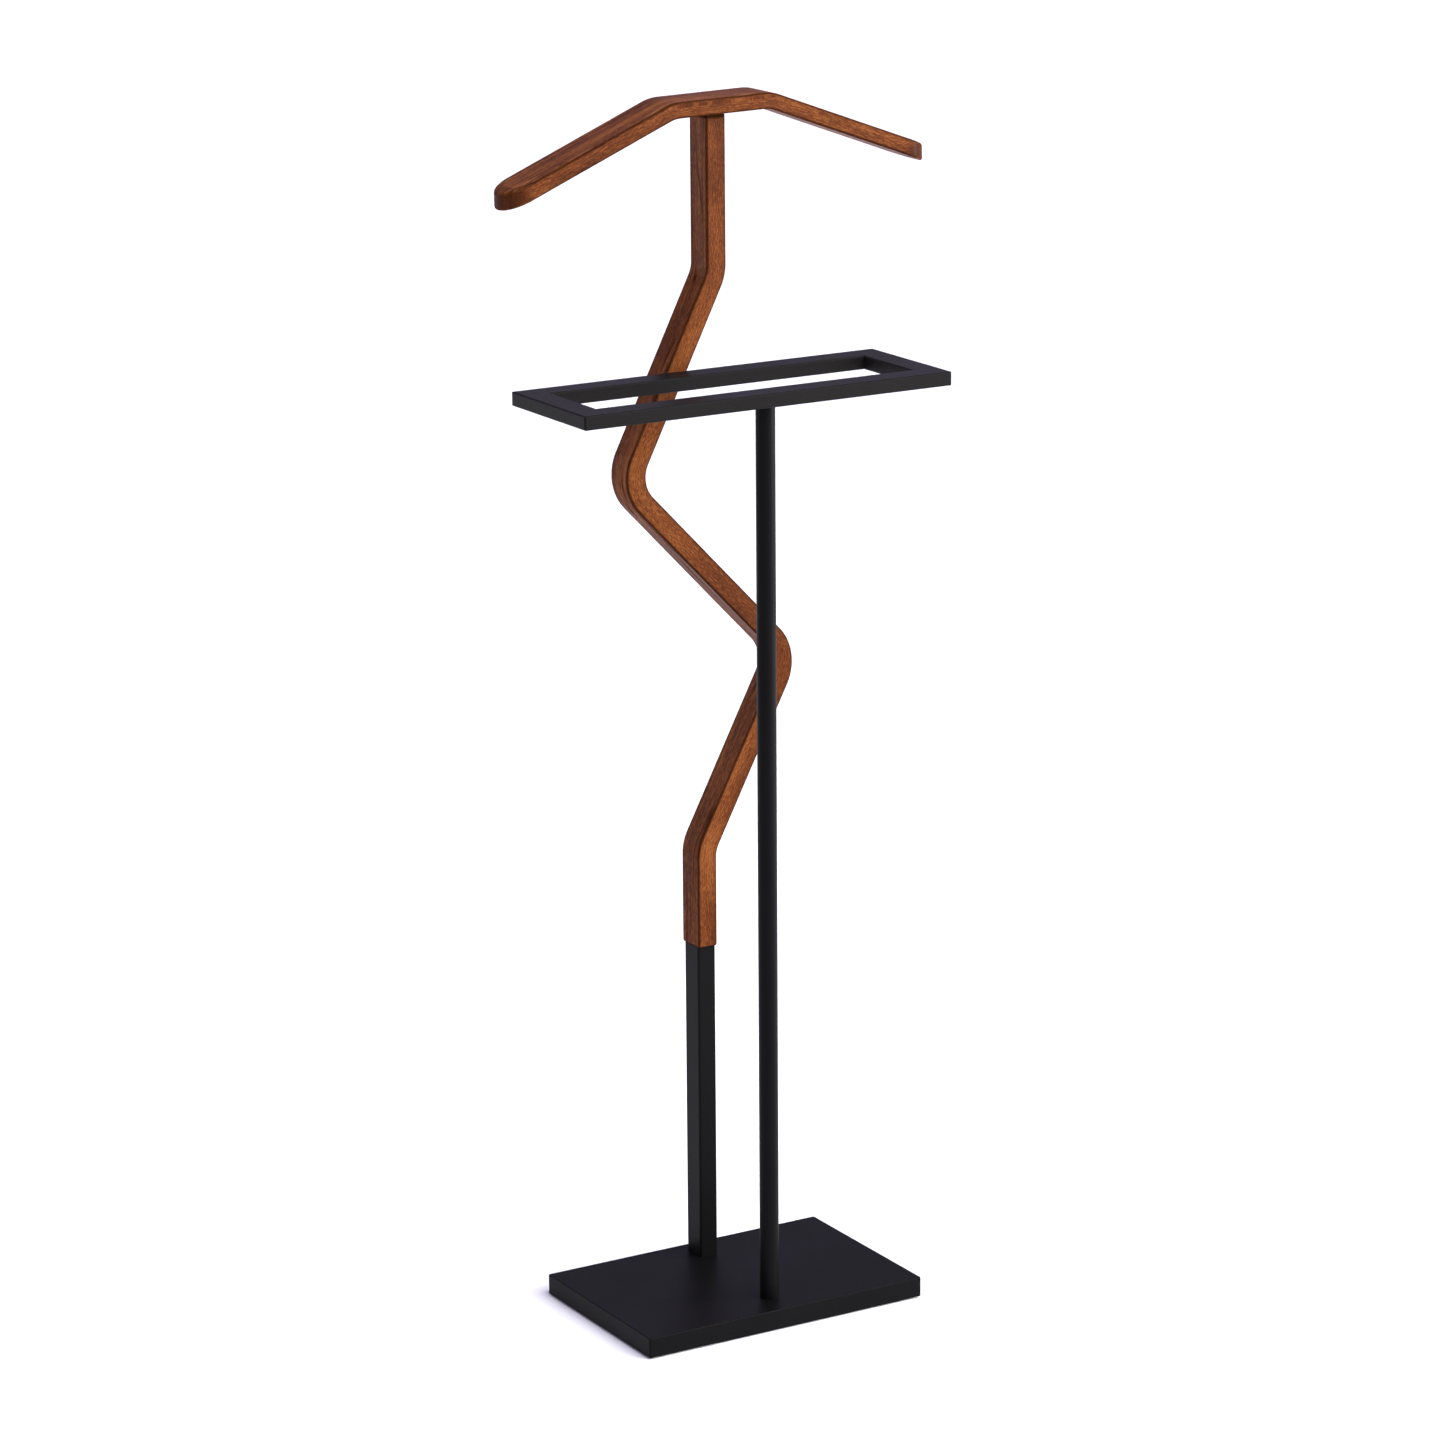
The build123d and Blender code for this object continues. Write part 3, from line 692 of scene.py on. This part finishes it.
def ease(piece, radius, segments=4, sharper_than=50):
    """Rounds every edge that turns by more than sharper_than degrees."""
    modifier = piece.modifiers.new("eased edges", "BEVEL")
    modifier.width = radius
    modifier.segments = segments
    modifier.limit_method = "ANGLE"
    modifier.angle_limit = math.radians(sharper_than)
    modifier.harden_normals = False

def bake(piece, cutters=()):
    """Turns the piece and its modifiers into one plain smooth-shaded mesh."""
    weigh = piece.modifiers.new("flat faces stay flat", "WEIGHTED_NORMAL")
    weigh.keep_sharp = True
    weigh.weight = BROAD_FACE_WEIGHT
    scene.view_layers[0].update()
    ready = piece.evaluated_get(bpy.context.evaluated_depsgraph_get())
    mesh = bpy.data.meshes.new_from_object(ready)
    piece.modifiers.clear()
    piece.data = mesh
    mesh.name = piece.name
    for solid in cutters:
        bpy.data.objects.remove(solid)
    return piece

print("broad faces weigh", BROAD_FACE_WEIGHT, "in the shading of each corner")

# %% [markdown]
# A finished piece is measured against the CAD node that it will stand for.

# %% Measuring helpers
def vertex_places(piece):
    """The piece's points as rows of x, y and z."""
    places = np.empty(len(piece.data.vertices) * 3)
    piece.data.vertices.foreach_get("co", places)
    return places.reshape(-1, 3)

def box_of(piece):
    """The piece's low and high corners."""
    places = vertex_places(piece)
    return places.min(axis=0), places.max(axis=0)

def report(piece, node_name):
    """Prints the piece's size beside the CAD node's, in millimetres."""
    low, high = box_of(piece)
    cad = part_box(node_name)
    print(piece.name, "size", np.round((high - low) / MM, 1),
          "CAD", [round(c / MM, 1) for c in cad[1] - cad[0]],
          "low corner off by", np.round((low - np.array(cad[0])) / MM, 2))

for name in ("bent_post", "hanger_bar"):
    low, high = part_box(name)
    print("to match:", name, [round(c / MM, 1) for c in high - low], "mm")

# %% [markdown]
# ## The zigzag post
# The post stands up out of the steel tube, leans right, kicks back to the left, leans right
# again past the trouser frame and ends upright under the shoulder bar. Its two ends, four
# corners and one bend radius say all of that. The points are given in millimetres, as
# sideways steps from the tube's centre and heights above the tube's top.

# %% The post's line
POST_BEND = 40 * MM
POST_STEPS = [(0, 0), (0, 101.5), (98.2, 288.9), (-84.4, 479.3), (15.7, 678.9), (15.7, 833.9)]
tube_low, tube_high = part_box("rear_tube")
tube_x = (tube_low.x + tube_high.x) / 2
tube_y = (tube_low.y + tube_high.y) / 2
foot_z = tube_high.z
post_line = [(tube_x + x * MM, tube_y, foot_z + z * MM) for x, z in POST_STEPS]
top_x, top_z = post_line[-1][0], post_line[-1][2]
print("post from", round(foot_z, 3), "to", round(top_z, 3), "m")

# %% [markdown]
# The drilling comes next. Two dowels stand in the post's top, and two screws go through the
# post from behind into the trouser frame's rear rail. Each cutter runs half a millimetre
# past the face that it opens, so that the boolean never meets two faces in one plane.

# %% Holes in the post
DOWEL_RADIUS = 4 * MM
DOWEL_SPREAD = 8 * MM
DOWEL_IN_POST = 26 * MM
OVERCUT = 0.5 * MM
BORE_SIDES = 32
RAIL_SCREW_HEAD = 3.8 * MM
RAIL_SCREW_HEAD_DEPTH = 2.4 * MM
RAIL_SCREW_SHANK = 2.0 * MM

def dowel_holes(shape):
    """Two blind holes down into the post's top."""
    for side in (-1, 1):
        place = (top_x, tube_y + side * DOWEL_SPREAD, top_z + OVERCUT)
        turned(shape, place, (0, 0, -1), DOWEL_RADIUS, DOWEL_RADIUS, DOWEL_IN_POST + OVERCUT)

def rail_screw_places():
    """The middles of the two screw heads, on the post's back."""
    low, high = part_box("rear_rail_screws")
    height = (low.z + high.z) / 2
    return [(low.x + RAIL_SCREW_HEAD, high.y, height), (high.x - RAIL_SCREW_HEAD, high.y, height)]

def screw_bores(shape):
    """A clear hole for each screw's shank, right through the post."""
    for place in rail_screw_places():
        turned(shape, place, (0, -1, 0), RAIL_SCREW_SHANK, RAIL_SCREW_SHANK,
               POST_DEPTH + OVERCUT, BORE_SIDES)

def screw_sinks(shape):
    """A countersink for each head, widened past the face at the head's own slope."""
    extra = OVERCUT / RAIL_SCREW_HEAD_DEPTH * (RAIL_SCREW_HEAD - RAIL_SCREW_SHANK)
    for x, y, z in rail_screw_places():
        turned(shape, (x, y + OVERCUT, z), (0, -1, 0), RAIL_SCREW_HEAD + extra,
               RAIL_SCREW_SHANK, RAIL_SCREW_HEAD_DEPTH + OVERCUT, BORE_SIDES)

print("rail screws at", [[round(c, 3) for c in place] for place in rail_screw_places()])

# %% [markdown]
# Bend, ease the edges, drill, and glue on the tenon: the tongue that fills the tube's top.
# The tenon goes on last, as a closed block of its own, so the router leaves it square.

# %% Bent post
POST_EDGE = 2.0 * MM
TENON = (16.6 * MM, 23.6 * MM, 60 * MM)

post = bend("zigzag_post", post_line, width=POST_WIDTH, depth=POST_DEPTH, bend_radius=POST_BEND,
            bend_steps=20, material=POST_TIMBER)
ease(post, POST_EDGE)
post_cutters = [cutter("dowel holes in post", dowel_holes),
                cutter("rail screw bores", screw_bores),
                cutter("rail screw sinks", screw_sinks)]
for solid in post_cutters:
    cut(post, solid, "DIFFERENCE")
bake(post, post_cutters)

def add_tenon(piece):
    """The tongue that fills the top of the steel tube, as a closed block of its own."""
    shape = bmesh.new()
    shape.from_mesh(piece.data)
    wide, deep, tall = TENON
    middle = Matrix.Translation((tube_x, tube_y, foot_z - tall / 2))
    block = middle @ Matrix.Diagonal((wide, deep, tall, 1.0))
    bmesh.ops.create_cube(shape, size=1.0, matrix=block)
    shape.to_mesh(piece.data)
    shape.free()

add_tenon(post)
report(post, "bent_post")

# %% [markdown]
# ## The shoulder bar
# The bar is flat on top over the post and falls away to each side like a pair of shoulders.
# It is swept past its ends first, then trimmed to a rounded plan with one upright cut, as a
# bandsaw would, so the rounded ends stay plumb and not square to the slope. The whole bar
# sits about a degree off level, right end up, which is given to it at the end.

# %% The shoulder bar's line
BAR_EDGE = 2.5 * MM
BAR_FLAT_HALF = 55.5 * MM
BAR_DROP = 70.5 * MM
BAR_TOP_BEND = 48 * MM
BAR_BEND = BAR_TOP_BEND - BAR_THICKNESS / 2
TRIM_ALLOWANCE = 14 * MM
SAW_ALLOWANCE = 4 * MM
fall = math.atan2(BAR_DROP, BAR_LENGTH / 2 - BAR_FLAT_HALF)
bar_corner = BAR_FLAT_HALF - BAR_THICKNESS / 2 * math.tan(fall / 2)
bar_reach = BAR_LENGTH / 2 + TRIM_ALLOWANCE

def bar_points():
    """The middle line of the plies: half a thickness below the bar's top line."""
    level = -BAR_THICKNESS / 2
    low = level - (bar_reach - bar_corner) * math.tan(fall)
    return [(-bar_reach, 0, low), (-bar_corner, 0, level),
            (bar_corner, 0, level), (bar_reach, 0, low)]

bar_line = bar_points()
print("arms fall at", round(math.degrees(fall), 1), "degrees")

# %% [markdown]
# The saw's cut is a tall block with the bar's plan: straight sides and half-round ends.

# %% Saw and finish the bar
PLAN_HALF_HEIGHT = 0.2
PLAN_ARC_STEPS = 40

def rounded_plan(shape):
    """An upright block with half-round ends, the outline that the bar is sawn to."""
    radius = BAR_DEPTH / 2
    outline = []
    for side in (1, -1):
        for step in range(PLAN_ARC_STEPS + 1):
            angle = -math.pi / 2 + math.pi * step / PLAN_ARC_STEPS
            outline.append((side * (BAR_LENGTH / 2 - radius + radius * math.cos(angle)),
                            side * radius * math.sin(angle), -PLAN_HALF_HEIGHT))
    face = shape.faces.new([shape.verts.new(corner) for corner in outline])
    made = bmesh.ops.extrude_face_region(shape, geom=[face])
    tops = [v for v in made["geom"] if isinstance(v, bmesh.types.BMVert)]
    bmesh.ops.translate(shape, verts=tops, vec=(0, 0, 2 * PLAN_HALF_HEIGHT))

bar = bend("shoulder_bar", bar_line, width=BAR_THICKNESS, depth=BAR_DEPTH + SAW_ALLOWANCE,
           bend_radius=BAR_BEND, bend_steps=16, material=BAR_TIMBER)
outline_cutter = cutter("rounded plan", rounded_plan)
cut(bar, outline_cutter, "INTERSECT")
ease(bar, BAR_EDGE, segments=5)
bake(bar, [outline_cutter])
report(bar, "hanger_bar")

# %% [markdown]
# ## Grain that follows the bend
# Every point of a bent bar is projected onto the bar's middle line. Its distance along the
# line, its place in the stack of plies and its place across the board are stored as one
# vector. That is the wood's own straight-board position, so the finish can lay out grain
# and glue lines as if the bar had never been bent.

# %% The rounded middle line
BEND_SAMPLES = 20

def rounded(points, radius):
    """The middle line as a dense polyline with its corners rounded, in x and z."""
    flat = [np.array((p[0], p[2])) for p in points]
    line = [flat[0]]
    for before, corner, after in zip(flat, flat[1:], flat[2:]):
        come = (before - corner) / np.linalg.norm(before - corner)
        go = (after - corner) / np.linalg.norm(after - corner)
        half = math.acos(float(np.clip(come @ go, -1, 1))) / 2
        centre = corner + (come + go) / np.linalg.norm(come + go) * (radius / math.sin(half))
        start = corner + come * (radius / math.tan(half)) - centre
        turn = math.pi - 2 * half
        cross = come[0] * go[1] - come[1] * go[0]
        for step in range(BEND_SAMPLES + 1):
            angle = math.copysign(turn, -cross) * step / BEND_SAMPLES
            spin = np.array(((math.cos(angle), -math.sin(angle)),
                             (math.sin(angle), math.cos(angle))))
            line.append(centre + spin @ start)
    line.append(flat[-1])
    return np.array(line)

def length_of(line):
    """Metres along a polyline."""
    return np.linalg.norm(np.diff(line, axis=0), axis=1).sum()

rounded_post_line = rounded(post_line, POST_BEND)
rounded_bar_line = rounded(bar_line, BAR_BEND)
print("post board", round(length_of(rounded_post_line), 3), "m, bar board",
      round(length_of(rounded_bar_line), 3), "m before sawing")

# %% [markdown]
# Each point is then measured from the nearest stretch of that line. The first and last
# stretches reach on past their ends, so that points there keep counting along the board.

# %% Board places
PAST_THE_END = 1.0

def board_places(places, line, middle_y):
    """For each point: metres along the line, metres above it in the plies, metres across."""
    flat = places[:, [0, 2]]
    starts, ends = line[:-1], line[1:]
    spans = ends - starts
    lengths = np.linalg.norm(spans, axis=1)
    run = np.concatenate(((0,), np.cumsum(lengths)))[:-1]
    best = np.full(len(flat), np.inf)
    along = np.zeros(len(flat))
    offset = np.zeros(len(flat))
    last = len(spans) - 1
    for i, (start, span, length) in enumerate(zip(starts, spans, lengths)):
        unit = span / length
        t = (flat - start) @ unit
        t = np.clip(t, -PAST_THE_END if i == 0 else 0.0,
                    length + PAST_THE_END if i == last else length)
        gap = flat - (start + t[:, None] * unit)
        distance = np.linalg.norm(gap, axis=1)
        nearer = distance < best
        best[nearer] = distance[nearer]
        along[nearer] = (run[i] + t)[nearer]
        side = unit[0] * gap[:, 1] - unit[1] * gap[:, 0]
        offset[nearer] = side[nearer]
    return np.stack((along, offset, places[:, 1] - middle_y), axis=1)

def keep_board_places(piece, line, middle_y, start_at):
    """Stores board_place on the piece, measured along from start_at metres."""
    board = board_places(vertex_places(piece), line, middle_y)
    board[:, 0] -= start_at
    stored = piece.data.attributes.new("board_place", "FLOAT_VECTOR", "POINT")
    stored.data.foreach_set("vector", board.astype(np.float32).ravel())
    print(piece.name, "board", np.round((board.max(axis=0) - board.min(axis=0)) / MM, 1), "mm")

keep_board_places(post, rounded_post_line, tube_y, 0.0)
keep_board_places(bar, rounded_bar_line, 0.0, length_of(rounded_bar_line) / 2)

# %% [markdown]
# ## Fitting the bar
# With its grain stored, the bar can be tilted and lifted onto the post. Its place comes from
# the CAD bar's box, so the two agree.

# %% Fit the shoulder bar
BAR_TILT = math.radians(1.12)

def settle(piece, node_name):
    """Moves a piece's mesh so that its box has the same middle as the CAD node's box."""
    low, high = box_of(piece)
    cad_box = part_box(node_name)
    shift = (cad_box[0] + cad_box[1]) / 2 - Vector((low + high) / 2)
    piece.data.transform(Matrix.Translation(shift))

bar.data.transform(Matrix.Rotation(-BAR_TILT, 4, "Y"))
settle(bar, "hanger_bar")
report(bar, "hanger_bar")

# %% [markdown]
# ## Screws
# Countersunk cross-head screws hold the bottom panel, pin the post into its tube and hold
# the trouser frame to the post. They are all one shape in three sizes, so a tree makes one
# screw from its sizes and sets it at every point it is given.

# %% The screw tree
SCREW_SIDES = 40
NECK = 0.96
RECESS_LENGTH, RECESS_WIDTH = 1.15, 0.26

def screw_tree():
    """A cross-head screw from its sizes, set at every point of the mesh it is given."""
    tree, source, result = new_tree("countersunk screws", {
        "Head Radius": ("Float", 0.004), "Head Height": ("Float", 0.002),
        "Shank Radius": ("Float", 0.002), "Length": ("Float", 0.02),
        "Turn": ("Rotation", None), "Material": ("Material", None)})
    head_radius, head_height = source.outputs["Head Radius"], source.outputs["Head Height"]
    shank_radius, length = source.outputs["Shank Radius"], source.outputs["Length"]

    def lifted(geometry, height):
        lift = add(tree, "ShaderNodeCombineXYZ", {"Z": height})
        moved = add(tree, "GeometryNodeTransform", {
            "Geometry": geometry, "Translation": lift.outputs[0]})
        return moved.outputs[0]

    def slot_across(size_x, size_y):
        size = add(tree, "ShaderNodeCombineXYZ", {"X": size_x, "Y": size_y, "Z": head_height})
        return add(tree, "GeometryNodeMeshCube", {"Size": size.outputs[0]}).outputs["Mesh"]

    head = add(tree, "GeometryNodeMeshCone", {
        "Vertices": SCREW_SIDES, "Radius Bottom": shank_radius, "Radius Top": head_radius,
        "Depth": head_height}).outputs["Mesh"]
    half_head = maths(tree, "MULTIPLY", head_height, 0.5)
    shank = add(tree, "GeometryNodeMeshCylinder", {
        "Vertices": SCREW_SIDES, "Radius": maths(tree, "MULTIPLY", shank_radius, NECK),
        "Depth": maths(tree, "SUBTRACT", length, half_head)}).outputs["Mesh"]
    head_foot = maths(tree, "MULTIPLY", head_height, -1.0)
    shank_middle = maths(tree, "MULTIPLY", maths(tree, "ADD", length, half_head), -0.5)
    whole = add(tree, "GeometryNodeMeshBoolean", operation="UNION", solver="EXACT")
    tree.links.new(lifted(head, head_foot), whole.inputs["Mesh 2"])
    tree.links.new(lifted(shank, shank_middle), whole.inputs["Mesh 2"])

    long_side = maths(tree, "MULTIPLY", head_radius, RECESS_LENGTH)
    short_side = maths(tree, "MULTIPLY", head_radius, RECESS_WIDTH)
    crossed = add(tree, "GeometryNodeMeshBoolean", {"Mesh 1": whole.outputs["Mesh"]},
                  operation="DIFFERENCE", solver="EXACT")
    tree.links.new(slot_across(long_side, short_side), crossed.inputs["Mesh 2"])
    tree.links.new(slot_across(short_side, long_side), crossed.inputs["Mesh 2"])
    placed = add(tree, "GeometryNodeInstanceOnPoints", {
        "Points": source.outputs["Geometry"], "Instance": crossed.outputs["Mesh"],
        "Rotation": source.outputs["Turn"]})
    finish_tree(tree, source, result, placed.outputs[0])
    return tree

SCREWS = screw_tree()
print("tree:", SCREWS.name, "with", len(SCREWS.nodes), "nodes")

# %% [markdown]
# The places come from the CAD screws' boxes, drawn in by a head's radius. The screws are
# modelled head up, so each group is turned to face down or to the back.

# %% Set the screws
FACING_DOWN = (math.radians(180), 0.0, 0.0)
FACING_BACK = (math.radians(-90), 0.0, 0.0)
PANEL_HEAD, PANEL_HEAD_DEPTH = 3.5 * MM, 1.0 * MM
PANEL_SHANK, PANEL_SCREW_LENGTH = 1.75 * MM, 12 * MM
PIN_HEAD, PIN_HEAD_DEPTH = 4.0 * MM, 2.2 * MM
PIN_SHANK, PIN_LENGTH = 2.0 * MM, 20 * MM
RAIL_SCREW_LENGTH = 41.5 * MM

def screws(name, places, **inputs):
    """One object with a screw at every place."""
    mesh = bpy.data.meshes.new(name)
    mesh.from_pydata(places, [], [])
    piece = bpy.data.objects.new(name, mesh)
    scene.collection.objects.link(piece)
    modifier = piece.modifiers.new("screws", "NODES")
    modifier.node_group = SCREWS
    set_inputs(modifier, **inputs)
    return bake(piece)

panel_low, panel_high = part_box("base_panel_screws")
panel_places = [(x, y, panel_low.z)
                for x in (panel_low.x + PANEL_HEAD, panel_high.x - PANEL_HEAD)
                for y in (panel_low.y + PANEL_HEAD, panel_high.y - PANEL_HEAD)]
pin_low, pin_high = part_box("tenon_screws")
pin_places = [((pin_low.x + pin_high.x) / 2, pin_high.y, z)
              for z in (pin_low.z + PIN_HEAD, pin_high.z - PIN_HEAD)]

panel_screws = screws("bottom_panel_screws", panel_places, head_radius=PANEL_HEAD,
                      head_height=PANEL_HEAD_DEPTH, shank_radius=PANEL_SHANK,
                      length=PANEL_SCREW_LENGTH, turn=FACING_DOWN, material=ZINC)
pin_screws = screws("post_pinning_screws", pin_places, head_radius=PIN_HEAD,
                    head_height=PIN_HEAD_DEPTH, shank_radius=PIN_SHANK,
                    length=PIN_LENGTH, turn=FACING_BACK, material=ZINC)
rail_screws = screws("rail_screws", rail_screw_places(), head_radius=RAIL_SCREW_HEAD,
                     head_height=RAIL_SCREW_HEAD_DEPTH, shank_radius=RAIL_SCREW_SHANK,
                     length=RAIL_SCREW_LENGTH, turn=FACING_BACK, material=ZINC)
report(panel_screws, "base_panel_screws")
report(pin_screws, "tenon_screws")
report(rail_screws, "rear_rail_screws")

# %% [markdown]
# ## Handing the pieces over
# Each new piece rides on the stand's one body and says which CAD node it stands for, and that
# node is hidden.

# %% Hand over
for piece, slot, node_name in (
        (post, "walnut_lacquer", "bent_post"),
        (bar, "walnut_lacquer", "hanger_bar"),
        (panel_screws, "zinc_steel", "base_panel_screws"),
        (pin_screws, "zinc_steel", "tenon_screws"),
        (rail_screws, "zinc_steel", "rear_rail_screws")):
    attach(piece, "root")
    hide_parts(node_name)
    print(piece.name, "stands for", node_name)

# %% [markdown]
# Two quick checks on each new piece: how many triangles it comes to, and whether every edge
# joins exactly two faces, so that the mesh is closed.

# %% Check the meshes
def triangles(piece):
    """How many triangles the piece's faces come to."""
    return sum(len(face.vertices) - 2 for face in piece.data.polygons)

def is_closed(piece):
    """True if every edge has a face on both sides."""
    shape = bmesh.new()
    shape.from_mesh(piece.data)
    closed = all(edge.is_manifold for edge in shape.edges)
    shape.free()
    return closed

for piece in (post, bar, panel_screws, pin_screws, rail_screws):
    print(piece.name, triangles(piece), "triangles, closed", is_closed(piece))
